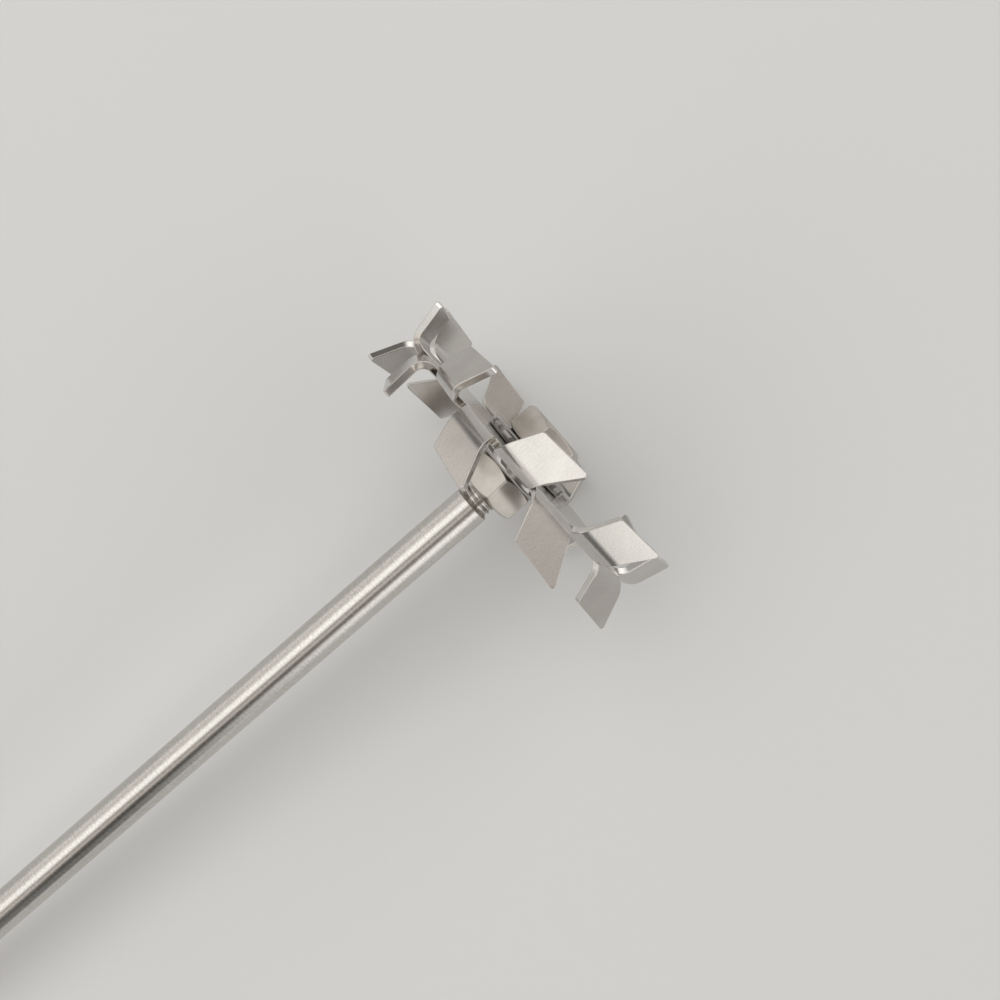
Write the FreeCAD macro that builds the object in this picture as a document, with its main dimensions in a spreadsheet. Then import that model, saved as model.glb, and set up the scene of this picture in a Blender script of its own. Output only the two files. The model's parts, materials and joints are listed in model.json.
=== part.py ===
"""Dispersion disc impeller: a toothed sheet disc clamped by two nuts on a stirring shaft.

Every piece is drawn with the shaft's axis as its own Z.  The disc's mid-plane is z = 0, and
+Z points out of the disc, away from the shaft.  One placement then lays the assembly on its
side, as it comes to rest on a table: on the shaft's free end and on one tooth of each face.
"""
import FreeCAD, Part
import math
import os
import Sketcher

SIZES = [
    ("shaft_diameter", 8.0, "ground stirring shaft"),
    ("shaft_length", 350.0, "free end to threaded end"),
    ("shaft_end_chamfer", 0.6, "lead-in on the free end"),
    ("shoulder_chamfer", 0.3, "broken edge where the shank stops"),
    ("neck_length", 2.8, "thread relief that shows between the shank and the nut"),
    ("neck_diameter", 6.4, "thread relief"),
    ("neck_cover", 0.4, "thread relief that runs on inside the nut"),
    ("thread_diameter", 7.8, "threaded end, drawn plain"),
    ("thread_recess", 0.3, "threaded end below the outer nut's face"),
    ("thread_chamfer", 0.8, "lead-in on the threaded end"),
    ("nut_flats", 13.0, "across flats"),
    ("nut_height", 6.5, "face to face"),
    ("nut_face_diameter", 12.2, "round face left by the corner chamfers"),
    ("nut_chamfer_angle", 30.0, "from the face"),
    ("nut_countersink", 0.5, "at both mouths of the bore"),
    ("shaft_nut_turn", 9.0, "angle of a corner from the top"),
    ("outer_nut_turn", -9.0, "angle of a corner from the top"),
    ("washer_diameter", 20.4, "outside"),
    ("washer_thickness", 2.3, "face to face"),
    ("washer_edge_radius", 0.75, "rounded rim"),
    ("bore_diameter", 8.4, "clearance hole of the disc and the washers"),
    ("sheet_thickness", 1.5, "stainless sheet"),
    ("core_radius", 24.2, "bottom of the slots between the teeth"),
    ("teeth_per_face", 9.0, "bent toward each face of the disc"),
    ("fold_distance", 26.6, "axis to the line where a fold starts"),
    ("fold_radius", 2.0, "inside of the fold"),
    ("blade_flare", 2.6, "degrees that a blade stays short of a right angle"),
    ("root_near", 2.7, "near end of the fold line, measured along it"),
    ("root_far", 11.5, "far end of the fold line"),
    ("near_slope", 0.45, "sideways run of a tooth's near edge for each mm outward"),
    ("far_slope", 0.65, "sideways run of a tooth's far edge for each mm outward"),
    ("near_reach", 9.6, "fold line to the near corner, along the flat sheet"),
    ("far_reach", 10.4, "fold line to the far corner, along the flat sheet"),
    ("near_corner_radius", 0.8, "rounded near corner of a blade"),
    ("far_corner_radius", 0.55, "rounded far corner of a blade"),
]
FOLD_SECTIONS = 5
RADIAN = math.pi / 180

doc = FreeCAD.newDocument("dispersion_disc_impeller")
cells = doc.addObject("Spreadsheet::Sheet", "Sizes")
for line, (alias, value, note) in enumerate(SIZES, start=1):
    cells.set("A%d" % line, alias)
    cells.set("B%d" % line, str(value))
    cells.set("C%d" % line, note)
    cells.setAlias("B%d" % line, alias)
doc.recompute()


class Measure:
    """A number together with the cell expression that it comes from."""

    def __init__(self, value, text):
        self.value = float(value)
        self.text = text

    def join(self, other, sign, swap=False):
        other = measure(other)
        first, second = (other, self) if swap else (self, other)
        values = {
            "+": lambda p, q: p + q,
            "-": lambda p, q: p - q,
            "*": lambda p, q: p * q,
            "/": lambda p, q: p / q,
        }
        text = "(%s %s %s)" % (first.text, sign, second.text)
        return Measure(values[sign](first.value, second.value), text)

    def __add__(self, other):
        return self.join(other, "+")

    def __radd__(self, other):
        return self.join(other, "+", True)

    def __sub__(self, other):
        return self.join(other, "-")

    def __rsub__(self, other):
        return self.join(other, "-", True)

    def __mul__(self, other):
        return self.join(other, "*")

    def __rmul__(self, other):
        return self.join(other, "*", True)

    def __truediv__(self, other):
        return self.join(other, "/")

    def __rtruediv__(self, other):
        return self.join(other, "/", True)


def measure(thing):
    """A cell's alias, a plain number or a measure, as a measure."""
    if isinstance(thing, Measure):
        return thing
    if isinstance(thing, str):
        return Measure(cells.get(thing), "Sizes." + thing)
    return Measure(thing, repr(thing))


def sine(angle):
    return Measure(math.sin(math.radians(angle.value)), "sin(%s)" % angle.text)


def cosine(angle):
    return Measure(math.cos(math.radians(angle.value)), "cos(%s)" % angle.text)


def tangent(angle):
    return Measure(math.tan(math.radians(angle.value)), "tan(%s)" % angle.text)


fold_middle = measure("fold_radius") + measure("sheet_thickness") / 2
fold_outside = measure("fold_radius") + measure("sheet_thickness")
fold_angle = 90 - measure("blade_flare")
nut_seat = measure("sheet_thickness") / 2 + measure("washer_thickness")
nut_outside = nut_seat + measure("nut_height")
thread_end = nut_outside - measure("thread_recess")


def new_body(label):
    body = doc.addObject("PartDesign::Body", label)
    body.Label = label
    return body


def origin_part(body, role):
    """One of the body's own origin planes or axes."""
    for feature in body.Origin.OriginFeatures:
        if feature.Role == role:
            return feature
    raise ValueError(role)


def new_sketch(body, name, plane):
    sketch = body.newObject("Sketcher::SketchObject", name)
    sketch.AttachmentSupport = [(origin_part(body, plane), "")]
    sketch.MapMode = "FlatFace"
    return sketch


def hinge(sketch, along_y, along_normal, angle):
    """Shift a sketch in its own plane and turn it about its own X axis."""
    base = FreeCAD.Vector(0, along_y.value, along_normal.value)
    turn = FreeCAD.Rotation(FreeCAD.Vector(1, 0, 0), angle.value)
    sketch.AttachmentOffset = FreeCAD.Placement(base, turn)
    sketch.setExpression("AttachmentOffset.Base.y", along_y.text)
    sketch.setExpression("AttachmentOffset.Base.z", along_normal.text)


def constrain(sketch, kind, *arguments):
    """Add one constraint, bound to its expression if it ends in a measure."""
    last = arguments[-1]
    if isinstance(last, Measure):
        arguments = arguments[:-1] + (last.value,)
    index = sketch.addConstraint(Sketcher.Constraint(kind, *arguments))
    if isinstance(last, Measure):
        sketch.setExpression("Constraints[%d]" % index, last.text)


def outline(sketch, corners):
    """A closed run of straight lines through corners given as pairs of measures."""
    first = sketch.GeometryCount
    points = [(measure(x), measure(y)) for x, y in corners]
    count = len(points)
    for i, (x, y) in enumerate(points):
        next_x, next_y = points[(i + 1) % count]
        start = FreeCAD.Vector(x.value, y.value, 0)
        end = FreeCAD.Vector(next_x.value, next_y.value, 0)
        sketch.addGeometry(Part.LineSegment(start, end), False)
    for i, (x, y) in enumerate(points):
        after = first + (i + 1) % count
        constrain(sketch, "Coincident", first + i, 2, after, 1)
        constrain(sketch, "DistanceX", -1, 1, first + i, 1, x)
        constrain(sketch, "DistanceY", -1, 1, first + i, 1, y)
    return first


def circle(sketch, radius):
    shape = Part.Circle(FreeCAD.Vector(0, 0, 0), FreeCAD.Vector(0, 0, 1), radius.value)
    index = sketch.addGeometry(shape, False)
    constrain(sketch, "Coincident", index, 3, -1, 1)
    constrain(sketch, "Radius", index, radius)


def pad(body, name, sketch, length, both_ways=False):
    feature = body.newObject("PartDesign::Pad", name)
    feature.Profile = sketch
    feature.Length = length.value
    feature.setExpression("Length", length.text)
    if both_ways:
        feature.Midplane = True
    return feature


def turned(body, kind, name, corners):
    """A revolution or a groove about Z of an outline of radius and height pairs."""
    sketch = new_sketch(body, name + "_profile", "XZ_Plane")
    for corner_run in corners:
        outline(sketch, corner_run)
    feature = body.newObject("PartDesign::" + kind, name)
    feature.Profile = sketch
    feature.ReferenceAxis = (sketch, ["V_Axis"])
    feature.Angle = 360.0
    return feature


def rim_edges(shape, radius):
    """Names of the whole circles of one radius about the axis."""
    names = []
    for number, edge in enumerate(shape.Edges, start=1):
        curve = edge.Curve
        if isinstance(curve, Part.Circle) and abs(curve.Radius - radius) < 1e-4:
            names.append("Edge%d" % number)
    return names


def shaft():
    """The stirring shaft: ground shank, thread relief and threaded end, in one piece."""
    body = new_body("shaft")
    shank = measure("shaft_diameter") / 2
    neck = measure("neck_diameter") / 2
    thread = measure("thread_diameter") / 2
    free_end = thread_end - measure("shaft_length")
    shoulder = -1 * nut_outside - measure("neck_length")
    relief_end = measure("neck_cover") - nut_outside
    turned(body, "Revolution", "turned_shaft", [[
        (0, free_end),
        (shank - measure("shaft_end_chamfer"), free_end),
        (shank, free_end + measure("shaft_end_chamfer")),
        (shank, shoulder - measure("shoulder_chamfer")),
        (shank - measure("shoulder_chamfer"), shoulder),
        (neck, shoulder),
        (neck, relief_end),
        (thread, relief_end + (thread - neck)),
        (thread, thread_end - measure("thread_chamfer")),
        (thread - measure("thread_chamfer"), thread_end),
        (0, thread_end),
    ]])
    return body


def hexagon_nut(label):
    """A plain hexagon nut, chamfered on both faces, standing on z = 0."""
    body = new_body(label)
    across_corners = measure("nut_flats") / (2 * math.cos(math.pi / 6))
    height = measure("nut_height")
    blank = new_sketch(body, label + "_hexagon", "XY_Plane")
    corners = []
    for step in range(6):
        angle = math.radians(60 * step)
        corners.append((across_corners * math.cos(angle), across_corners * math.sin(angle)))
    outline(blank, corners)
    pad(body, label + "_blank", blank, height)
    face = measure("nut_face_diameter") / 2
    outer = across_corners + 1
    drop = (outer - face) * tangent(measure("nut_chamfer_angle"))
    turned(body, "Groove", label + "_chamfers", [
        [(face, 0), (outer, 0), (outer, drop)],
        [(face, height), (outer, height - drop), (outer, height)],
    ])
    bore = measure("thread_diameter") / 2
    mouth = measure("nut_countersink")
    turned(body, "Groove", label + "_bore", [[
        (0, 0),
        (bore + mouth, 0),
        (bore, mouth),
        (bore, height - mouth),
        (bore + mouth, height),
        (0, height),
    ]])
    return body


def washer(label):
    """A thick washer with a rounded rim, standing on z = 0."""
    body = new_body(label)
    rim = measure("washer_diameter") / 2
    bore = measure("bore_diameter") / 2
    height = measure("washer_thickness")
    ring = turned(body, "Revolution", label + "_ring", [[
        (bore, 0),
        (rim, 0),
        (rim, height),
        (bore, height),
    ]])
    doc.recompute()
    rounded = body.newObject("PartDesign::Fillet", label + "_rim")
    rounded.Base = (ring, rim_edges(ring.Shape, rim.value))
    rounded.Radius = measure("washer_edge_radius").value
    rounded.setExpression("Radius", "Sizes.washer_edge_radius")
    return body


def disc_core():
    """The flat middle of the disc with its centre hole."""
    body = new_body("disc_core")
    rim = new_sketch(body, "core_circles", "XY_Plane")
    circle(rim, measure("core_radius"))
    circle(rim, measure("bore_diameter") / 2)
    pad(body, "core_plate", rim, measure("sheet_thickness"), both_ways=True)
    return body


def fold_section(body, name, side, angle):
    """The sheet's cross-section part of the way round a fold, as a slanted rectangle."""
    near = measure("root_near") + measure("near_slope") * fold_middle * angle * RADIAN
    far = measure("root_far") + measure("far_slope") * fold_middle * angle * RADIAN
    inside = measure("fold_radius") * -side
    outside = fold_outside * -side
    sketch = new_sketch(body, name, "YZ_Plane")
    hinge(sketch, fold_middle * side, measure("fold_distance"), angle * -side)
    sketch.setExpression("AttachmentOffset.Rotation.Angle", (angle * -side).text)
    outline(sketch, [(near, inside), (far, inside), (far, outside), (near, outside)])
    return sketch


def blade_corners():
    """The blade's near and far corners and its height there, flat, from the fold's end."""
    bent_length = fold_middle * fold_angle * RADIAN
    near_rise = measure("near_reach") - bent_length
    far_rise = measure("far_reach") - bent_length
    near = (measure("root_near") + measure("near_slope") * measure("near_reach"), near_rise)
    far = (measure("root_far") + measure("far_slope") * measure("far_reach"), far_rise)
    return near, far, far_rise


def teeth(label, side):
    """Every tooth bent toward one face (side 1 is +Z), each with its flat root."""
    body = new_body(label)
    near_slope = measure("near_slope")
    far_slope = measure("far_slope")
    flare = measure("blade_flare")

    run = measure("fold_distance") - measure("core_radius") * 0.6
    flat = new_sketch(body, label + "_root_outline", "XY_Plane")
    outline(flat, [
        (measure("fold_distance") - run, measure("root_near") - near_slope * run),
        (measure("fold_distance"), measure("root_near")),
        (measure("fold_distance"), measure("root_far")),
        (measure("fold_distance") - run, measure("root_far") - far_slope * run),
    ])
    root = pad(body, label + "_root", flat, measure("sheet_thickness"), both_ways=True)

    sections = []
    for step in range(FOLD_SECTIONS):
        angle = fold_angle * (step / (FOLD_SECTIONS - 1))
        sections.append(fold_section(body, "%s_fold_%d" % (label, step), side, angle))
    fold = body.newObject("PartDesign::AdditiveLoft", label + "_fold")
    fold.Profile = sections[0]
    fold.Sections = sections[1:]

    bent_length = fold_middle * fold_angle * RADIAN
    near, far, _ = blade_corners()
    blank = new_sketch(body, label + "_blade_outline", "YZ_Plane")
    inside = measure("fold_radius")
    hinge(
        blank,
        (fold_middle - inside * sine(flare)) * side,
        measure("fold_distance") + inside * cosine(flare),
        flare * side,
    )
    blank.setExpression("AttachmentOffset.Rotation.Angle", (flare * side).text)
    first = outline(blank, [
        (measure("root_near") + near_slope * bent_length, 0),
        (measure("root_far") + far_slope * bent_length, 0),
        (far[0], far[1] * side),
        (near[0], near[1] * side),
    ])
    corners = ((first + 1, measure("far_corner_radius")), (first + 2, measure("near_corner_radius")))
    for side_line, radius in corners:
        arc = blank.GeometryCount
        blank.fillet(side_line, 2, radius.value, True, True)
        constrain(blank, "Radius", arc, radius)
    blade = pad(body, label + "_blade", blank, measure("sheet_thickness"))

    ring = body.newObject("PartDesign::PolarPattern", label + "_ring")
    ring.Originals = [root, fold, blade]
    ring.Axis = (origin_part(body, "Z_Axis"), [""])
    ring.Angle = 360
    ring.Occurrences = int(measure("teeth_per_face").value)
    ring.setExpression("Occurrences", "Sizes.teeth_per_face")
    body.Tip = ring
    return body


def disc():
    """The one-piece disc: flat core and both rings of bent teeth."""
    core = disc_core()
    outward = teeth("outward_teeth", 1)
    inward = teeth("inward_teeth", -1)
    half_pitch = 180 / measure("teeth_per_face")
    inward.Placement = FreeCAD.Placement(
        FreeCAD.Vector(0, 0, 0), FreeCAD.Rotation(FreeCAD.Vector(0, 0, 1), half_pitch.value))
    joined = doc.addObject("Part::MultiFuse", "dispersion_disc")
    joined.Label = "dispersion_disc"
    joined.Shapes = [core, outward, inward]
    joined.Refine = True
    return joined


def blade_tip():
    """Where a blade's far corner lies farthest from the axis: out, sideways and up."""
    flare = math.radians(measure("blade_flare").value)
    rounding = measure("far_corner_radius").value
    near, far, rise = blade_corners()
    to_near = math.atan2(near[1].value - far[1].value, near[0].value - far[0].value)
    to_foot = math.atan2(-rise.value, -measure("far_slope").value * rise.value)
    opening = (to_foot - to_near) % (2 * math.pi)
    setback = rounding / math.sin(opening / 2)
    sideways = far[0].value + setback * math.cos(to_near + opening / 2) + rounding
    along = far[1].value + setback * math.sin(to_near + opening / 2)
    out = measure("fold_distance").value + fold_outside.value * math.cos(flare)
    up = fold_middle.value - fold_outside.value * math.sin(flare)
    return out + along * math.sin(flare), sideways, up + along * math.cos(flare)


def resting_pose():
    """Tilt of the axis, height of the disc's centre and turn of the disc, in radians.

    The shaft's free end touches the table, and so do the outermost corners of two
    neighbouring teeth, one bent toward each face.  The two corners lie on either side of
    the lowest line, half a tooth's pitch from it, plus and minus a shift that grows with
    the tilt, because the tilt lifts the outward teeth above the inward ones.
    """
    out, sideways, up = blade_tip()
    reach = math.hypot(out, sideways)
    half = math.radians(90 / measure("teeth_per_face").value)
    shank = measure("shaft_diameter").value / 2
    free_end = (measure("shaft_length") - thread_end - measure("shaft_end_chamfer")).value
    level = reach * math.cos(half)
    sloped = reach * math.sin(half) * free_end / up
    shift = math.acos(shank / math.hypot(level, sloped)) - math.atan2(sloped, level)
    tilt = math.atan(reach / up * math.sin(half) * math.sin(shift))
    height = free_end * math.sin(tilt) + shank * math.cos(tilt)
    lowest_tooth = 2 * half * (2 * ((measure("teeth_per_face").value - 1) // 2) + 1)
    turn = math.pi + half + shift - math.atan2(sideways, out) - lowest_tooth
    return tilt, height, turn


def lay_down(pieces, tilt, height):
    """Lay every piece on the table with the origin under the middle of the whole."""
    up_the_disc = FreeCAD.Vector(-math.sin(tilt), 0, math.cos(tilt))
    across = FreeCAD.Vector(0, -1, 0)
    along = FreeCAD.Vector(math.cos(tilt), 0, math.sin(tilt))
    lying = FreeCAD.Rotation(up_the_disc, across, along, "ZXY")
    raised = FreeCAD.Placement(FreeCAD.Vector(0, 0, height), lying)
    for piece, own_height, own_turn in pieces:
        spin = FreeCAD.Rotation(FreeCAD.Vector(0, 0, 1), math.degrees(own_turn))
        own = FreeCAD.Placement(FreeCAD.Vector(0, 0, own_height), spin)
        piece.Placement = raised * own
    doc.recompute()
    box = Part.makeCompound([piece.Shape for piece, _, _ in pieces])
    box = box.optimalBoundingBox(False, False)
    middle = FreeCAD.Vector(-box.Center.x, -box.Center.y, 0)
    for piece, _, _ in pieces:
        piece.Placement = FreeCAD.Placement(middle, FreeCAD.Rotation()) * piece.Placement
    doc.recompute()


def check(pieces):
    """Stop at a failed feature or a shape that isn't one valid solid."""
    for feature in doc.Objects:
        if {"Invalid", "Error"} & set(feature.State):
            raise RuntimeError("%s has failed" % feature.Label)
    for piece in pieces:
        if piece.Shape.isNull() or not piece.Shape.isValid():
            raise RuntimeError("%s has no valid shape" % piece.Label)
        if len(piece.Shape.Solids) != 1:
            raise RuntimeError("%s isn't one solid" % piece.Label)


def main():
    tilt, height, disc_turn = resting_pose()
    washer_seat = (measure("sheet_thickness") / 2).value
    shaft_nut_turn = math.radians(measure("shaft_nut_turn").value)
    outer_nut_turn = math.radians(measure("outer_nut_turn").value)
    pieces = [
        (shaft(), 0, 0),
        (disc(), 0, disc_turn),
        (washer("shaft_side_washer"), -nut_seat.value, 0),
        (washer("outer_washer"), washer_seat, 0),
        (hexagon_nut("shaft_side_nut"), -nut_outside.value, shaft_nut_turn),
        (hexagon_nut("outer_nut"), nut_seat.value, outer_nut_turn),
    ]
    doc.recompute()
    lay_down(pieces, tilt, height)
    check([piece for piece, _, _ in pieces])
    os.makedirs("parts", exist_ok=True)
    for piece, _, _ in pieces:
        piece.Shape.exportStep("parts/%s.step" % piece.Label)


main()
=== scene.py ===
# %% [markdown]
# # A dispersion disc on its stirring shaft
#
# The object is a stainless disc whose teeth are bent, one up and one down, all round its
# edge.  Two washers and two nuts clamp it on the threaded end of a long turned shaft.  The
# CAD model already holds every piece at its real size.  This lesson gives the pieces the
# fine shapes and finishes that a close picture shows: rounded cut edges, thread rings,
# rolled and brushed metal, and a soft studio light.

# %% Load the frame
import json
import math

import bmesh
import bpy
from mathutils import Matrix, Vector

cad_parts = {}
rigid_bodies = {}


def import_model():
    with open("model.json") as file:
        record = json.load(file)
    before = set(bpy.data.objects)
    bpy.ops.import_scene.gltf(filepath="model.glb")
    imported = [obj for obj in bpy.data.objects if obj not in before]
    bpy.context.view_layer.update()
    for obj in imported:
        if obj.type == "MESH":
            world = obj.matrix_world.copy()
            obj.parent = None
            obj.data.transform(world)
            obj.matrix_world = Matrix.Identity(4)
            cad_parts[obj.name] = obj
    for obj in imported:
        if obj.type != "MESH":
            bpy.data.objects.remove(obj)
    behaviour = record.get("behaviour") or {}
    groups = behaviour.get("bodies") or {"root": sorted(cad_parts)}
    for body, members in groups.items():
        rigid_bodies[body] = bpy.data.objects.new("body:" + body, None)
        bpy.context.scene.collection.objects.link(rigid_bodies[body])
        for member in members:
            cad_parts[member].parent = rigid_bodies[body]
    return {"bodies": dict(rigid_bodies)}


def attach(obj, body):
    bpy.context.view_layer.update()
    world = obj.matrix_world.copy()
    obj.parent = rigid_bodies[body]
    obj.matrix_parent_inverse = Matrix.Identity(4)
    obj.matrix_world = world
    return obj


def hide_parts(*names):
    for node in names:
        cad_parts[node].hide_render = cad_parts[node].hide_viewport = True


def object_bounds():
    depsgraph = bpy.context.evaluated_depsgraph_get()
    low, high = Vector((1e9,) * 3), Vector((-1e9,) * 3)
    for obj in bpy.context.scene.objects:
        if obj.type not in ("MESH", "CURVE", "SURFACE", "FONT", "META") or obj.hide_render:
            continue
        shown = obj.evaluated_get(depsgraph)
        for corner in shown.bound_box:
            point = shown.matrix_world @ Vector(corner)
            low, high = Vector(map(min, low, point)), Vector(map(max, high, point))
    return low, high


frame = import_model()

cad_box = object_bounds()
MM = 0.001
print("CAD box:", cad_box)

# %% [markdown]
# ## The axis that everything shares
#
# Every piece was made round one line, the shaft's axis, and then laid on the table.  It is
# easiest to model a piece standing on that axis, with z pointing out of the disc, and to lay
# its finished mesh down with one matrix.  The matrix goes into the mesh and not into the
# object, so that each object stays at the origin, as the CAD nodes do.

# %% The lying axis
TILT = math.radians(5.102958)
DISC_TURN = math.radians(-13.458)
DISC_MIDDLE = Vector((163.9628, 0.0, 34.2390)) * MM


def lying_matrix(turn=0.0):
    """From a piece standing on its axis, in millimetres, to the table, in metres."""
    up_the_disc = Vector((-math.sin(TILT), 0, math.cos(TILT)))
    across = Vector((0, -1, 0))
    along = Vector((math.cos(TILT), 0, math.sin(TILT)))
    axes = Matrix((up_the_disc, across, along)).transposed().to_4x4()
    return Matrix.Translation(DISC_MIDDLE) @ axes @ Matrix.Rotation(turn, 4, "Z") @ Matrix.Scale(MM, 4)


def lay_down(mesh, name, turn=0.0):
    """Make an object of a mesh that was modelled standing on the axis."""
    mesh.transform(lying_matrix(turn))
    mesh.name = name
    piece = bpy.data.objects.new(name, mesh)
    bpy.context.scene.collection.objects.link(piece)
    print(name, "has", len(mesh.polygons), "faces")
    return piece


# %% [markdown]
# ## Numbers of the real pieces
#
# The same sizes shape the CAD model.  They are in millimetres and stand here once, so that
# every later cell reads the same value.

# %% Sizes
SHEET = 1.5
BORE = 4.2
CORE = 24.2
FOLD_START = 26.6
FOLD_INSIDE = 2.0
FLARE = math.radians(2.6)
TEETH_PER_FACE = 9
ROOT_NEAR, ROOT_FAR = 2.7, 11.5
NEAR_SLOPE, FAR_SLOPE = 0.45, 0.65
NEAR_REACH, FAR_REACH = 9.6, 10.4
NEAR_ROUNDING, FAR_ROUNDING = 0.8, 0.55

WASHER_RADIUS, WASHER_HEIGHT, WASHER_ROUNDING = 10.2, 2.3, 0.75
NUT_FLATS, NUT_HEIGHT, NUT_FACE, NUT_TURN = 13.0, 6.5, 6.1, math.radians(9)
THREAD, SHANK, NECK, NECK_LENGTH = 3.9, 4.0, 3.2, 2.8
THREAD_RECESS, PITCH, THREAD_DEPTH = 0.3, 1.0, 0.42
SHAFT_LENGTH, NECK_COVER = 350.0, 0.4
END_CHAMFER, SHOULDER_CHAMFER, THREAD_CHAMFER = 0.6, 0.3, 0.8
NUT_CHAMFER, NUT_MOUTH = math.pi / 6, 0.5
SLOT_ROUNDING, EDGE_ROUNDING = 0.45, 0.2

nut_seat = SHEET / 2 + WASHER_HEIGHT
nut_outside = nut_seat + NUT_HEIGHT
thread_end = nut_outside - THREAD_RECESS
shoulder = -nut_outside - NECK_LENGTH
print("thread ends at", thread_end, "mm, shoulder at", shoulder, "mm from the disc's middle")

# %% [markdown]
# ## Camera
#
# The photograph looks down at the lying part from about 21 cm above the disc, with an
# ordinary lens.  Its place was solved from the corners of the teeth and the shaft's edges:
# it looks straight down to within about a degree, and its turn about Z puts the shaft on the
# picture's diagonal.

# %% Camera
camera_data = bpy.data.cameras.new("overhead_camera")
camera_data.sensor_width = 36.0
camera_data.lens = 38.97
camera = bpy.data.objects.new("overhead_camera", camera_data)
camera.location = DISC_MIDDLE + Vector((-8.41, -7.49, 211.99)) * MM
camera.rotation_euler = [math.radians(v) for v in (1.019, 0.670, -40.803)]
bpy.context.scene.collection.objects.link(camera)
bpy.context.scene.camera = camera
print("camera at", [round(v, 4) for v in camera.location])

# %% [markdown]
# ## Writing material nodes as sums
#
# A material is a graph, but most of it is arithmetic on numbers that change over the
# surface.  `Level` wraps one socket and turns `a * b + c` into Math nodes, and
# `Finish.node` makes any other node from its type, its settings and its inputs.


# %% Level: a number that changes over the surface
class Level:
    def __init__(self, finish, socket):
        self.finish = finish
        self.socket = socket

    def math(self, operation, other, swap=False):
        first, second = (other, self) if swap else (self, other)
        return self.finish.node("ShaderNodeMath", {"operation": operation}, {0: first, 1: second})

    def __add__(self, other):
        return self.math("ADD", other)

    def __rsub__(self, other):
        return self.math("SUBTRACT", other, swap=True)

    def __mul__(self, other):
        return self.math("MULTIPLY", other)

    def __truediv__(self, other):
        return self.math("DIVIDE", other)

    __radd__ = __add__
    __rmul__ = __mul__

    def step(self, low, high):
        """0 below low, 1 above high, and a smooth rise between them."""
        settings = {"interpolation_type": "SMOOTHSTEP"}
        return self.finish.node("ShaderNodeMapRange", settings, {0: self, 1: low, 2: high})


# %% Finish: one material and its node-making method
class Finish:
    def __init__(self, name):
        self.material = bpy.data.materials.new(name)
        self.material.use_nodes = True
        self.tree = self.material.node_tree
        self.shader = self.tree.nodes["Principled BSDF"]

    def fill(self, socket, value):
        if isinstance(value, Level):
            self.tree.links.new(value.socket, socket)
        else:
            socket.default_value = value

    def node(self, kind, settings=None, inputs=None, output=0):
        made = self.tree.nodes.new(kind)
        for name, value in (settings or {}).items():
            setattr(made, name, value)
        for name, value in (inputs or {}).items():
            self.fill(made.inputs[name], value)
        return Level(self, made.outputs[output])

    def set(self, **sockets):
        for name, value in sockets.items():
            self.fill(self.shader.inputs[name.replace("_", " ")], value)


# %% Helpers that the metals share
def on_axis(finish):
    """Object coordinates turned back to the standing piece, in metres."""
    place = finish.node("ShaderNodeTexCoord", output="Object")
    turned = lying_matrix().to_euler()
    settings = {"vector_type": "TEXTURE"}
    return finish.node("ShaderNodeMapping", settings, {
        "Vector": place, "Location": DISC_MIDDLE, "Rotation": turned})


def grain(finish, place, stretch, detail=3.0, roughness=0.5):
    """Noise whose cells are 1/stretch long in each direction, in the units of place."""
    pulled = finish.node("ShaderNodeVectorMath", {"operation": "MULTIPLY"}, {0: place, 1: stretch})
    return finish.node("ShaderNodeTexNoise", None, {
        "Vector": pulled, "Scale": 1.0, "Detail": detail, "Roughness": roughness})


def tint(finish, amount, dark, light):
    """A colour between two steels."""
    return finish.node("ShaderNodeMix", {"data_type": "RGBA"}, {
        "Factor": amount, 6: (*dark, 1), 7: (*light, 1)}, output=2)


def relief(finish, height, distance):
    """A bump of that real depth, in metres."""
    return finish.node("ShaderNodeBump", None, {"Height": height, "Distance": distance, "Strength": 1.0})


# %% [markdown]
# ## Sheet steel with its rolling grain
#
# The disc was cut from satin sheet, so one grain runs straight across the whole flat disc
# and bends with each tooth.  Tumbling after the cut left a fine speckle over it.  The mesh
# keeps every point's place on the flat sheet, in millimetres, in the attribute `flat`, and
# the pattern reads that and not the place in space.  The cut edges were never rolled: they
# are smoother, and their colour is lifted toward a lighter steel as a painted highlight.


# %% Disc finish
def disc_finish():
    steel = Finish("disc_satin_steel")
    flat = steel.node("ShaderNodeAttribute", {"attribute_name": "flat"}, output="Vector")
    cut = steel.node("ShaderNodeAttribute", {"attribute_name": "cut"}, output="Fac")
    tooth = steel.node("ShaderNodeAttribute", {"attribute_name": "tooth"}, output="Fac")
    rolled = grain(steel, flat, (0.5, 8.0, 6.0), detail=3.0)
    speckle = grain(steel, flat, (2.6, 3.0, 2.6), detail=3.0, roughness=0.7)
    clouds = grain(steel, flat, (0.14, 0.2, 0.14), detail=3.0)
    shade = (rolled * 0.2 + speckle * 0.45 + clouds * 0.35).step(0.32, 0.68)
    # The cut faces are tinted toward the lighter steel: a painted highlight along the cut edges.
    steel.set(
        Base_Color=tint(steel, shade * 0.5 + cut * 0.5, (0.475, 0.45, 0.425), (0.69, 0.67, 0.64)),
        Metallic=1.0,
        Roughness=(clouds * 0.10 + speckle * 0.08 + tooth * 0.04 + 0.08) * (1 - cut * 0.4),
        Normal=relief(steel, rolled * 0.15 + speckle * 0.85, 0.006 * MM),
    )
    return steel.material


disc_steel = disc_finish()
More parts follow.
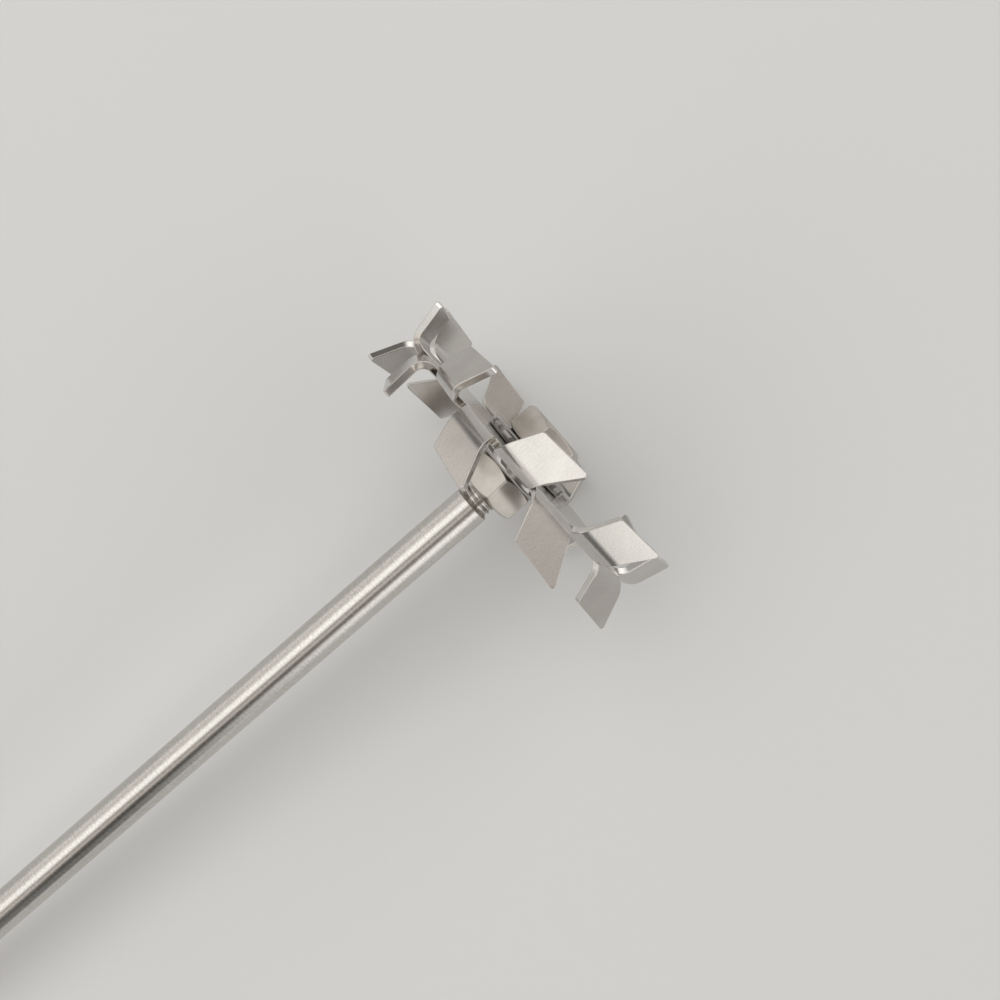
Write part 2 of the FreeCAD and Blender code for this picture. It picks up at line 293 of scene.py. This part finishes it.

# %% [markdown]
# ## Turned and ground steel
#
# The shaft is ground round and round, so its lines run across its length, with a fine grit
# in them.  The nuts are formed and only their chamfers are turned; the washers are turned
# all over and polished, and their colour is darkened as painted shade for the gap between
# the disc and the nuts where they sit.


# %% Shaft finish
def shaft_finish():
    steel = Finish("ground_shaft_steel")
    place = on_axis(steel)
    rings = grain(steel, place, (60, 60, 5200), detail=3.0)
    patches = grain(steel, place, (130, 130, 26), detail=4.0)
    grit = grain(steel, place, (1500, 1500, 3600), detail=3.0, roughness=0.7)
    shade = (rings * 0.25 + patches * 0.25 + grit * 0.5).step(0.32, 0.68)
    steel.set(
        Base_Color=tint(steel, shade, (0.49, 0.47, 0.445), (0.67, 0.65, 0.62)),
        Metallic=1.0,
        Roughness=patches * 0.08 + rings * 0.06 + grit * 0.06 + 0.10,
        Normal=relief(steel, rings * 0.3 + grit * 0.7, 0.007 * MM),
    )
    return steel.material


shaft_steel = shaft_finish()


# %% Nut and washer finishes
def nut_finish():
    steel = Finish("formed_nut_steel")
    place = on_axis(steel)
    skin = grain(steel, place, (1500, 1500, 1500), detail=3.0)
    clouds = grain(steel, place, (260, 260, 260), detail=3.0)
    steel.set(
        Base_Color=tint(steel, clouds.step(0.25, 0.75), (0.49, 0.46, 0.42), (0.575, 0.545, 0.505)),
        Metallic=1.0,
        Roughness=clouds * 0.08 + skin * 0.08 + 0.12,
        Normal=relief(steel, skin * 0.7 + clouds * 0.1, 0.003 * MM),
    )
    return steel.material


def washer_finish():
    steel = Finish("polished_washer_steel")
    place = on_axis(steel)
    lines = grain(steel, place, (90, 90, 4200), detail=2.0)
    # Both washer tints are darkened steel: painted shade for the shaded gap between the disc and the nuts.
    steel.set(
        Base_Color=tint(steel, lines, (0.31, 0.30, 0.285), (0.42, 0.405, 0.385)),
        Metallic=1.0,
        Roughness=lines * 0.06 + 0.06,
        Normal=relief(steel, lines, 0.002 * MM),
    )
    return steel.material


nut_steel = nut_finish()
washer_steel = washer_finish()
print("finishes:", [steel.name for steel in (disc_steel, shaft_steel, nut_steel, washer_steel)])

# %% [markdown]
# ## Round pieces from one profile
#
# Turned parts are a closed profile carried round the axis.  Real turned edges are never
# razor sharp, and the thin bright line on a broken edge is what tells the eye that it looks
# at metal.  `soften` replaces each corner of a profile by a small arc before it is turned.


# %% Profiles
def soften(corners, radius, steps=3):
    """A closed profile whose corners are small arcs; radius may be a list, one a corner."""
    points = []
    count = len(corners)
    for i, corner in enumerate(corners):
        here = Vector(corner)
        r = radius[i] if isinstance(radius, (list, tuple)) else radius
        before = (Vector(corners[i - 1]) - here).normalized()
        after = (Vector(corners[(i + 1) % count]) - here).normalized()
        half = before.angle(after) / 2
        if r <= 0 or half > math.radians(88):
            points.append(here)
            continue
        middle = here + (before + after).normalized() * (r / math.sin(half))
        first = here + before * (r / math.tan(half)) - middle
        last = here + after * (r / math.tan(half)) - middle
        for k in range(steps + 1):
            points.append(middle + first.slerp(last, k / steps) * r)
    return points


def turned_mesh(name, rings):
    """Join closed profiles, one for each (angle, profile) pair, into one skin round the axis."""
    made = bmesh.new()
    rows = []
    for angle, profile in rings:
        c, s = math.cos(angle), math.sin(angle)
        rows.append([made.verts.new((p[0] * c, p[0] * s, p[1])) for p in profile])
    for i, row in enumerate(rows):
        following = rows[(i + 1) % len(rows)]
        for k in range(len(row)):
            n = (k + 1) % len(row)
            made.faces.new((row[k], following[k], following[n], row[n]))
    bmesh.ops.remove_doubles(made, verts=made.verts, dist=1e-5)
    bmesh.ops.dissolve_degenerate(made, edges=made.edges, dist=1e-6)
    bmesh.ops.recalc_face_normals(made, faces=made.faces)
    mesh = bpy.data.meshes.new(name)
    made.to_mesh(mesh)
    made.free()
    mesh.shade_smooth()
    mesh.set_sharp_from_angle(angle=math.radians(38))
    return mesh


def even_turn(profile, steps):
    return [(2 * math.pi * i / steps, profile) for i in range(steps)]


# %% [markdown]
# ## Washers
#
# Each washer is a thick turned ring with a rounded rim and a lightly broken bore.

# %% Washer meshes
def washer_mesh(name, bottom):
    top = bottom + WASHER_HEIGHT
    corners = [(BORE, bottom), (WASHER_RADIUS, bottom), (WASHER_RADIUS, top), (BORE, top)]
    profile = soften(corners, [0.15, WASHER_ROUNDING, WASHER_ROUNDING, 0.15], steps=6)
    return turned_mesh(name, even_turn(profile, 160))


outer_washer = lay_down(washer_mesh("outer_washer_ring", SHEET / 2), "outer_washer_ring")
shaft_side_washer = lay_down(
    washer_mesh("shaft_side_washer_ring", -SHEET / 2 - WASHER_HEIGHT), "shaft_side_washer_ring")

# %% [markdown]
# ## Nuts
#
# A hexagon nut is a hexagon cut back by a cone at both faces, which leaves a round face and
# a curved edge on each flat.  Instead of cutting solids, the same skin as above is used with
# a profile that changes with the angle: its outside radius follows the hexagon, and its
# chamfer always starts on the same circle.


# %% Nut meshes
def hexagon_radius(from_corner, rounding=0.3):
    """Distance from the axis to a hexagon with rounded corners, at an angle from a corner."""
    off = abs(from_corner)
    centre = (NUT_FLATS / 2 - rounding) / math.cos(math.pi / 6)
    limit = math.atan2(rounding * 0.5, centre + rounding * math.cos(math.pi / 6))
    if off < limit:
        return centre * math.cos(off) + math.sqrt(rounding ** 2 - (centre * math.sin(off)) ** 2)
    return NUT_FLATS / 2 / math.cos(math.pi / 6 - off)


def nut_profile(radius, bottom):
    top = bottom + NUT_HEIGHT
    drop = (radius - NUT_FACE) * math.tan(NUT_CHAMFER)
    corners = [
        (THREAD + NUT_MOUTH, bottom), (NUT_FACE, bottom), (radius, bottom + drop),
        (radius, top - drop), (NUT_FACE, top), (THREAD + NUT_MOUTH, top),
        (THREAD, top - NUT_MOUTH), (THREAD, bottom + NUT_MOUTH),
    ]
    return soften(corners, [0.12, 0.2, 0.22, 0.22, 0.2, 0.12, 0, 0], steps=4)


def nut_mesh(name, bottom, turn):
    offsets = [0, 0.5, 1.0, 1.6, 2.4, 3.4, 4.8, 6.6, 9, 12, 15.5, 19.5, 23.5, 27]
    offsets = sorted({-o for o in offsets} | set(offsets) | {30})
    rings = []
    for side in range(6):
        for off in offsets:
            radius = hexagon_radius(math.radians(off))
            angle = turn + math.radians(side * 60 + off)
            rings.append((angle, nut_profile(radius, bottom)))
    return turned_mesh(name, rings)


outer_nut = lay_down(nut_mesh("outer_hexagon_nut", nut_seat, -NUT_TURN), "outer_hexagon_nut")
shaft_side_nut = lay_down(
    nut_mesh("shaft_side_hexagon_nut", -nut_outside, NUT_TURN), "shaft_side_hexagon_nut")

# %% [markdown]
# ## Shaft
#
# One turned rod: chamfered free end, shoulder, a narrower neck and the threaded end.  The
# profile is open on the axis, and the welded poles close both ends.


# %% Shaft mesh
def shaft_mesh():
    free_end = thread_end - SHAFT_LENGTH
    cover = -nut_outside + NECK_COVER
    corners = [
        (0, free_end), (SHANK - END_CHAMFER, free_end), (SHANK, free_end + END_CHAMFER),
        (SHANK, shoulder - SHOULDER_CHAMFER), (SHANK - SHOULDER_CHAMFER, shoulder), (NECK, shoulder),
        (NECK, cover), (THREAD, cover), (THREAD, thread_end - THREAD_CHAMFER),
        (THREAD - THREAD_CHAMFER, thread_end), (0, thread_end),
    ]
    profile = soften(corners, [0, 0.15, 0.2, 0.15, 0.12, 0.1, 0.05, 0.05, 0.1, 0.1, 0], steps=3)
    return turned_mesh("turned_shaft", even_turn(profile, 128))


shaft = lay_down(shaft_mesh(), "turned_shaft")

# %% [markdown]
# ## A small builder for Geometry Nodes
#
# Geometry Nodes make what repeats.  `Recipe` starts a node group with named inputs, and its
# `node` method works like the one of the materials.


# %% Recipe: one Geometry Nodes tree
class Recipe:
    def __init__(self, name, numbers):
        self.tree = bpy.data.node_groups.new(name, "GeometryNodeTree")
        face = self.tree.interface
        face.new_socket("Geometry", in_out="INPUT", socket_type="NodeSocketGeometry")
        face.new_socket("Geometry", in_out="OUTPUT", socket_type="NodeSocketGeometry")
        self.ids = {}
        for label, value in numbers.items():
            kind = "NodeSocketInt" if isinstance(value, int) else "NodeSocketFloat"
            socket = face.new_socket(label, in_out="INPUT", socket_type=kind)
            self.ids[label] = socket.identifier
        self.numbers = numbers
        self.start = self.tree.nodes.new("NodeGroupInput")
        self.end = self.tree.nodes.new("NodeGroupOutput")

    def node(self, kind, settings=None, inputs=None, output=0):
        made = self.tree.nodes.new(kind)
        for name, value in (settings or {}).items():
            setattr(made, name, value)
        for name, value in (inputs or {}).items():
            if isinstance(value, bpy.types.NodeSocket):
                self.tree.links.new(value, made.inputs[name])
            else:
                made.inputs[name].default_value = value
        return made.outputs[output]

    def given(self, label):
        return self.start.outputs[label]

    def finish(self, geometry, material):
        real = self.node("GeometryNodeRealizeInstances", None, {0: geometry})
        dressed = self.node("GeometryNodeSetMaterial", None, {0: real, "Material": material})
        self.tree.links.new(dressed, self.end.inputs[0])

    def run(self, mesh):
        """Apply the recipe to a mesh and return the resulting plain mesh."""
        holder = bpy.data.objects.new("recipe_holder", mesh)
        bpy.context.scene.collection.objects.link(holder)
        modifier = holder.modifiers.new("recipe", "NODES")
        modifier.node_group = self.tree
        for label, value in self.numbers.items():
            modifier[self.ids[label]] = value
        seen = holder.evaluated_get(bpy.context.evaluated_depsgraph_get())
        result = bpy.data.meshes.new_from_object(seen)
        bpy.data.objects.remove(holder)
        return result


# %% [markdown]
# ## The disc: one pair of teeth
#
# The disc repeats every 40 degrees: one tooth bent outward and one bent toward the shaft.
# So one closed slice with both teeth is modelled, and Geometry Nodes turn it nine times
# about the axis and weld the slices.  A tooth is first drawn on the flat sheet, by how far
# its points lie beyond the fold line and across it.  `bend` then wraps that flat strip round
# the fold, which is what the press brake does, so the slanted edges come out right by
# themselves.

# %% Bend a flat tooth
FOLD_MIDDLE = FOLD_INSIDE + SHEET / 2
FOLD_ANGLE = math.pi / 2 - FLARE
FOLD_LENGTH = FOLD_MIDDLE * FOLD_ANGLE


def bend(beyond, across, height):
    """Place of a point of the flat tooth once it is folded toward +z."""
    if beyond <= 0:
        return Vector((FOLD_START + beyond, across, height))
    angle = min(beyond, FOLD_LENGTH) / FOLD_MIDDLE
    rest = max(beyond - FOLD_LENGTH, 0)
    radius = FOLD_MIDDLE - height
    return Vector((
        FOLD_START + radius * math.sin(angle) + rest * math.cos(angle),
        across,
        FOLD_MIDDLE - radius * math.cos(angle) + rest * math.sin(angle),
    ))


def near_edge(beyond):
    return ROOT_NEAR + NEAR_SLOPE * beyond


def far_edge(beyond):
    return ROOT_FAR + FAR_SLOPE * beyond


# %% Outline of the blade beyond the fold
def blade_outline():
    """(beyond, across) from the near foot round the two rounded corners to the far foot."""
    corners = [
        (FOLD_LENGTH, near_edge(FOLD_LENGTH)), (NEAR_REACH, near_edge(NEAR_REACH)),
        (FAR_REACH, far_edge(FAR_REACH)), (FOLD_LENGTH, far_edge(FOLD_LENGTH)),
    ]
    return soften(corners, [0, NEAR_ROUNDING, FAR_ROUNDING, 0], steps=5)


def slot_angle(edge):
    """Angle at which a tooth's straight edge meets the rounded bottom of its slot."""
    low, high = CORE * 0.8, CORE + SLOT_ROUNDING
    for _ in range(40):
        middle = (low + high) / 2
        if math.hypot(middle, edge(middle - FOLD_START)) > CORE + SLOT_ROUNDING:
            high = middle
        else:
            low = middle
    return math.atan2(edge(low - FOLD_START), low)


near_angle, far_angle = slot_angle(near_edge), slot_angle(far_edge)
pitch_angle = math.pi / TEETH_PER_FACE
half_slot = (near_angle + pitch_angle - far_angle) / 2
print("a slot is", round(2 * half_slot * CORE, 2), "mm wide at its bottom")

# %% [markdown]
# A slice has three parts.  A fan of quads runs from the bore nearly to the slots.  One flat
# face with many corners fills the rest as far as the fold; its outline has the rounded
# bottoms of the slots, as a punch leaves them.  Rows of quads then go round the fold, and one
# more flat face is the blade.  Both faces of the sheet use the same layout, and a strip of
# faces between them closes the cut edge.

# %% Lay out one slice of the disc
COLUMNS = 8
ARCS = 10
SLOT_STEPS = 5
FAN_RADII = (BORE, 7.0, 10.6, 14.0, 18.0, 21.5)


def slice_layout():
    """Flat points of the fan, the fold's rows and the two slot bottoms.

    A point is ("core", radius, angle) or ("tooth", beyond, across).
    """
    start, end = near_angle - half_slot, far_angle + half_slot
    angles = [start + (end - start) * i / COLUMNS for i in range(COLUMNS + 1)]
    fan = [[("core", r, a) for a in angles] for r in FAN_RADII]
    fold = []
    for k in range(ARCS + 1):
        beyond = FOLD_LENGTH * k / ARCS
        low, high = near_edge(beyond), far_edge(beyond)
        fold.append([("tooth", beyond, low + (high - low) * i / COLUMNS) for i in range(COLUMNS + 1)])
    near_slot, far_slot = [], []
    for k in range(SLOT_STEPS + 1):
        t = math.pi / 2 * k / SLOT_STEPS
        radius = CORE + SLOT_ROUNDING * (1 - math.cos(t))
        near_slot.append(("core", radius, start + half_slot * math.sin(t)))
        far_slot.append(("core", radius, end - half_slot * math.sin(t)))
    return fan, fold, near_slot, far_slot


def placed(point, height):
    kind, first, second = point
    if kind == "core":
        return Vector((first * math.cos(second), first * math.sin(second), height))
    return bend(first, second, height)


def flat_place(point):
    """The same point on the unbent sheet."""
    kind, first, second = point
    if kind == "core":
        return Vector((first * math.cos(second), first * math.sin(second)))
    return Vector((FOLD_START + first, second))


# %% Build the slice as a mesh
def add_slice(made, flat, cut, side, turn):
    """Add one tooth with its share of the core, bent toward side (+1 or -1)."""
    fan, fold, near_slot, far_slot = slice_layout()
    tips = [("tooth", p[0], p[1]) for p in blade_outline()[1:-1]]
    parts = fan + fold + [near_slot, far_slot, tips]
    spin = Matrix.Rotation(turn, 3, "Z")

    def skin(height):
        def add(point):
            where = placed(point, height * side)
            vertex = made.verts.new(spin @ Vector((where.x, where.y, where.z * side)))
            sheet = spin @ flat_place(point).to_3d()
            vertex[flat] = Vector((sheet.x, sheet.y, height * side))
            return vertex

        rows = [[add(p) for p in row] for row in parts]
        return rows[:len(fan)], rows[len(fan):-3], *rows[-3:]

    def face(corners, is_cut=0.0):
        made.faces.new(corners if side > 0 else corners[::-1])[cut] = is_cut

    def quads(rows, flip):
        for a, b in zip(rows, rows[1:]):
            for p, q, r, s in zip(a, a[1:], b, b[1:]):
                face([p, r, s, q][::flip])

    def rim(rows, near, far, tip):
        """The whole cut edge of the slice, from the middle of one slot to that of the next."""
        return near + [r[0] for r in rows] + tip + [r[-1] for r in rows[::-1]] + far[::-1]

    rims, bores = [], []
    for height, flip in ((SHEET / 2 * side, 1), (-SHEET / 2 * side, -1)):
        inner, outer, near, far, tip = skin(height)
        quads(inner, flip)
        quads(outer, flip)
        face((inner[-1][::-1] + near + outer[0] + far[::-1])[::flip])
        face((outer[-1][::-1] + tip)[::flip])
        rims.append(rim(outer, near, far, tip))
        bores.append(inner[0][::-1])
    for upper, lower in (rims, bores):
        for p, q, r, s in zip(upper, upper[1:], lower, lower[1:]):
            face([p, q, s, r], 1.0)


def pair_mesh():
    made = bmesh.new()
    flat = made.verts.layers.float_vector.new("flat")
    cut = made.faces.layers.float.new("cut")
    add_slice(made, flat, cut, 1, 0.0)
    add_slice(made, flat, cut, -1, pitch_angle)
    bmesh.ops.remove_doubles(made, verts=made.verts, dist=1e-4)
    mesh = bpy.data.meshes.new("pair_of_teeth")
    made.to_mesh(mesh)
    made.free()
    return mesh


one_pair = pair_mesh()
print("one pair of teeth has", len(one_pair.polygons), "faces")

# %% [markdown]
# ## The disc: nine pairs by Geometry Nodes
#
# The recipe puts nine points on the axis, places the pair on each with its own turn, makes
# them real and welds the seams.  Turning an instance doesn't turn its `flat` attribute, so
# the recipe turns that too: the rolling grain then runs one way across the whole disc.
# A random number for each pair, with a fixed seed, lets the finish differ a little.


# %% Disc recipe
def disc_recipe():
    recipe = Recipe("ring_of_teeth", {"Pairs": TEETH_PER_FACE, "Weld": 0.0005, "Seed": 4})
    points = recipe.node("GeometryNodeMeshLine", None, {"Count": recipe.given("Pairs"), "Offset": (0, 0, 0)})
    index = recipe.node("GeometryNodeInputIndex")
    step = recipe.node("ShaderNodeMath", {"operation": "DIVIDE"}, {0: 2 * math.pi, 1: recipe.given("Pairs")})
    angle = recipe.node("ShaderNodeMath", {"operation": "MULTIPLY"}, {0: index, 1: step})
    kept = recipe.node("GeometryNodeStoreNamedAttribute", {"domain": "POINT"}, {
        "Geometry": points, "Name": "pair_angle", "Value": angle})
    luck = recipe.node("FunctionNodeRandomValue", None, {"Seed": recipe.given("Seed")}, output=1)
    kept = recipe.node("GeometryNodeStoreNamedAttribute", {"domain": "POINT"}, {
        "Geometry": kept, "Name": "tooth", "Value": luck})
    turned = recipe.node("ShaderNodeCombineXYZ", None, {"Z": angle})
    ring = recipe.node("GeometryNodeInstanceOnPoints", None, {
        "Points": kept, "Instance": recipe.given("Geometry"), "Rotation": turned})
    real = recipe.node("GeometryNodeRealizeInstances", None, {0: ring})
    flat = recipe.node("GeometryNodeInputNamedAttribute", {"data_type": "FLOAT_VECTOR"}, {"Name": "flat"})
    own = recipe.node("GeometryNodeInputNamedAttribute", {"data_type": "FLOAT"}, {"Name": "pair_angle"})
    around = recipe.node("ShaderNodeVectorRotate", {"rotation_type": "Z_AXIS"}, {"Vector": flat, "Angle": own})
    straight = recipe.node("GeometryNodeStoreNamedAttribute", {
        "domain": "POINT", "data_type": "FLOAT_VECTOR"}, {"Geometry": real, "Name": "flat", "Value": around})
    welded = recipe.node("GeometryNodeMergeByDistance", None, {0: straight, "Distance": recipe.given("Weld")})
    recipe.finish(welded, disc_steel)
    return recipe


disc_mesh = disc_recipe().run(one_pair)
print("the ring of teeth has", len(disc_mesh.polygons), "faces")

# %% [markdown]
# Stamped and tumbled sheet has lightly rounded edges.  A Bevel modifier rounds every edge
# of the finished ring that is sharper than 45 degrees, and hardened normals keep the
# blades flat right up to the rounding.


# %% Round the disc's edges
def rounded_edges(mesh, width):
    holder = bpy.data.objects.new("edge_holder", mesh)
    bpy.context.scene.collection.objects.link(holder)
    bevel = holder.modifiers.new("edges", "BEVEL")
    bevel.width = width
    bevel.segments = 3
    bevel.limit_method = "ANGLE"
    bevel.angle_limit = math.radians(45)
    bevel.harden_normals = True
    seen = holder.evaluated_get(bpy.context.evaluated_depsgraph_get())
    result = bpy.data.meshes.new_from_object(seen)
    bpy.data.objects.remove(holder)
    return result


def facing_out(mesh):
    """Turn every face outward and count the edges that aren't shared by two faces."""
    made = bmesh.new()
    made.from_mesh(mesh)
    bmesh.ops.recalc_face_normals(made, faces=made.faces)
    print("open edges:", sum(len(edge.link_faces) != 2 for edge in made.edges))
    made.to_mesh(mesh)
    made.free()


facing_out(disc_mesh)
disc_mesh.shade_smooth()
disc_mesh = rounded_edges(disc_mesh, EDGE_ROUNDING)
disc = lay_down(disc_mesh, "bent_tooth_disc", DISC_TURN)

# %% [markdown]
# ## Thread rings on the neck
#
# Between the shoulder and the nut the last turns of the thread show.  A thread follows a
# rule, so it is a recipe too: a spiral curve swept with a small square that stands on its
# corner, so that the half that leaves the neck is the thread's sharp ridge.  The spiral
# starts inside the shoulder and runs on into the nut, which hides both of its ends.


# %% Thread recipe
def thread_recipe(turns, radius, depth):
    recipe = Recipe("thread_rings", {
        "Turns": turns, "Pitch": PITCH, "Radius": radius, "Depth": depth})
    height = recipe.node("ShaderNodeMath", {"operation": "MULTIPLY"}, {
        0: recipe.given("Turns"), 1: recipe.given("Pitch")})
    spiral = recipe.node("GeometryNodeCurveSpiral", None, {
        "Resolution": 64, "Rotations": recipe.given("Turns"),
        "Start Radius": recipe.given("Radius"), "End Radius": recipe.given("Radius"),
        "Height": height})
    upright = recipe.node("GeometryNodeSetCurveNormal", {"mode": "Z_UP"}, {0: spiral})
    tooth = recipe.node("GeometryNodeCurvePrimitiveCircle", None, {
        "Resolution": 4, "Radius": recipe.given("Depth")})
    swept = recipe.node("GeometryNodeCurveToMesh", None, {
        0: upright, "Profile Curve": tooth, "Fill Caps": True})
    recipe.finish(swept, shaft_steel)
    return recipe


RUN_OUT = 0.7
thread_turns = (NECK_LENGTH + 2 * RUN_OUT) / PITCH
thread_mesh = thread_recipe(thread_turns, NECK, THREAD_DEPTH).run(bpy.data.meshes.new("thread_start"))
thread_mesh.transform(Matrix.Translation((0, 0, shoulder - RUN_OUT)))
thread_mesh.shade_smooth()
thread_mesh.set_sharp_from_angle(angle=math.radians(50))
thread = lay_down(thread_mesh, "neck_thread")

# %% [markdown]
# ## Dress, replace and ride
#
# Each detailed piece stands for its CAD node, which is hidden, takes its own finish, and
# rides on the one rigid body.

# %% Hand the pieces over
PIECES = (
    (shaft, "shaft", "shaft_steel", shaft_steel),
    (disc, "dispersion_disc", "disc_steel", disc_steel),
    (outer_washer, "outer_washer", "fastener_steel", washer_steel),
    (shaft_side_washer, "shaft_side_washer", "fastener_steel", washer_steel),
    (outer_nut, "outer_nut", "fastener_steel", nut_steel),
    (shaft_side_nut, "shaft_side_nut", "fastener_steel", nut_steel),
)
body = list(frame["bodies"])[0]
for piece, node, slot, steel in PIECES:
    piece.data.materials.clear()
    piece.data.materials.append(steel)
    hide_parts(node)
    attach(piece, body)
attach(thread, body)

# %% [markdown]
# ## Floor and light
#
# Metal shows what is around it, so the light is mostly a matter of what the sky looks like.
# The shaft is a round mirror, and the bands across it in the photograph tell: a bright side
# to the left of the shaft, a brighter window just left of overhead, a dark gap right of
# overhead and a glow low on the right.  The blades tell of two dark corners, one behind the
# shaft on the right and one beyond the disc on the left.  The world draws all this from the
# direction alone, above a plain pale horizon that other views show behind the part.  One
# large soft lamp, which metal doesn't show, gives the shadow.


# %% Floor
def plain_floor():
    reach, sides = 4.0, 90
    mesh = bpy.data.meshes.new("floor")
    level = min(cad_box[0][2], 0.0)
    turns = [2 * math.pi * i / sides for i in range(sides)]
    rim = [(reach * math.cos(t), reach * math.sin(t), level) for t in turns]
    mesh.from_pydata(rim, [], [range(sides)])
    paint = Finish("pale_floor_paint")
    paint.set(Base_Color=(0.64, 0.64, 0.64, 1), Roughness=0.85, Specular_IOR_Level=0.2)
    mesh.materials.append(paint.material)
    floor = bpy.data.objects.new("floor", mesh)
    bpy.context.scene.collection.objects.link(floor)


plain_floor()


# %% Sky
SKY_BANDS = (
    (-90, 0.75), (-80, 1.15), (-70, 1.35), (-57, 1.65), (-47, 1.15), (-38, 0.40), (-28, 0.22),
    (-20, 0.65), (-13, 0.95), (-6, 0.50), (2, 0.50), (10, 1.40), (18, 1.70), (34, 1.62),
    (45, 0.95), (58, 0.90), (72, 1.05), (90, 0.95),
)
BRIGHTEST = 1.8
HORIZON = 0.75


class Sky(Finish):
    """The world's background, written with the same node method."""

    def __init__(self, name):
        world = bpy.data.worlds.new(name)
        world.use_nodes = True
        bpy.context.scene.world = world
        self.tree = world.node_tree
        self.shader = self.tree.nodes["Background"]


def sky_bands(sky, share):
    """Brightness by the angle from overhead, from the right horizon to the left one."""
    bands = sky.node("ShaderNodeValToRGB", None, {0: share})
    ramp = bands.socket.node.color_ramp
    while len(ramp.elements) < len(SKY_BANDS):
        ramp.elements.new(0.5)
    for element, (degrees, level) in zip(ramp.elements, SKY_BANDS):
        element.position = (degrees + 90) / 180
        element.color = (level / BRIGHTEST,) * 3 + (1,)
    return bands * BRIGHTEST


def studio_sky():
    sky = Sky("studio_sky")
    place = sky.node("ShaderNodeTexCoord", output="Generated")
    parts = sky.node("ShaderNodeSeparateXYZ", None, {0: place})
    along, left, up = (Level(sky, socket) for socket in parts.socket.node.outputs)
    bands = sky_bands(sky, left.math("ARCTAN2", up) / math.pi + 0.5)
    toward_free_end = (along * -1).step(0.6, 0.85)
    near_corner = (along * -1).step(0.10, 0.5) * (left * -1).step(0.15, 0.6)
    far_corner = along.step(-0.1, 0.35) * left.step(0.25, 0.6)
    level = bands * (1 - toward_free_end) + toward_free_end
    level = level * (1 - near_corner * 0.85) * (1 - far_corner * 0.8)
    low_down = 1 - up.step(0.10, 0.22)
    level = level * (1 - low_down) + low_down * HORIZON
    neutral = bands.step(0.4, 1.5) * (1 - low_down) + low_down
    colour = tint(sky, neutral, (1.0, 0.93, 0.87), (0.985, 0.985, 0.96))
    sky.set(Color=colour, Strength=level)


studio_sky()


# %% Lamp
def soft_lamp(name, place, size, watts):
    lamp = bpy.data.lights.new(name, "AREA")
    lamp.size = size
    lamp.energy = watts
    holder = bpy.data.objects.new(name, lamp)
    holder.location = place
    aim = (DISC_MIDDLE - Vector(place)).to_track_quat("-Z", "Y")
    holder.rotation_euler = aim.to_euler()
    holder.visible_glossy = False
    bpy.context.scene.collection.objects.link(holder)


soft_lamp("key_window", (0.10, 0.50, 1.05), 0.7, 2.5)

# %% Colour management
bpy.context.scene.view_settings.view_transform = "Standard"
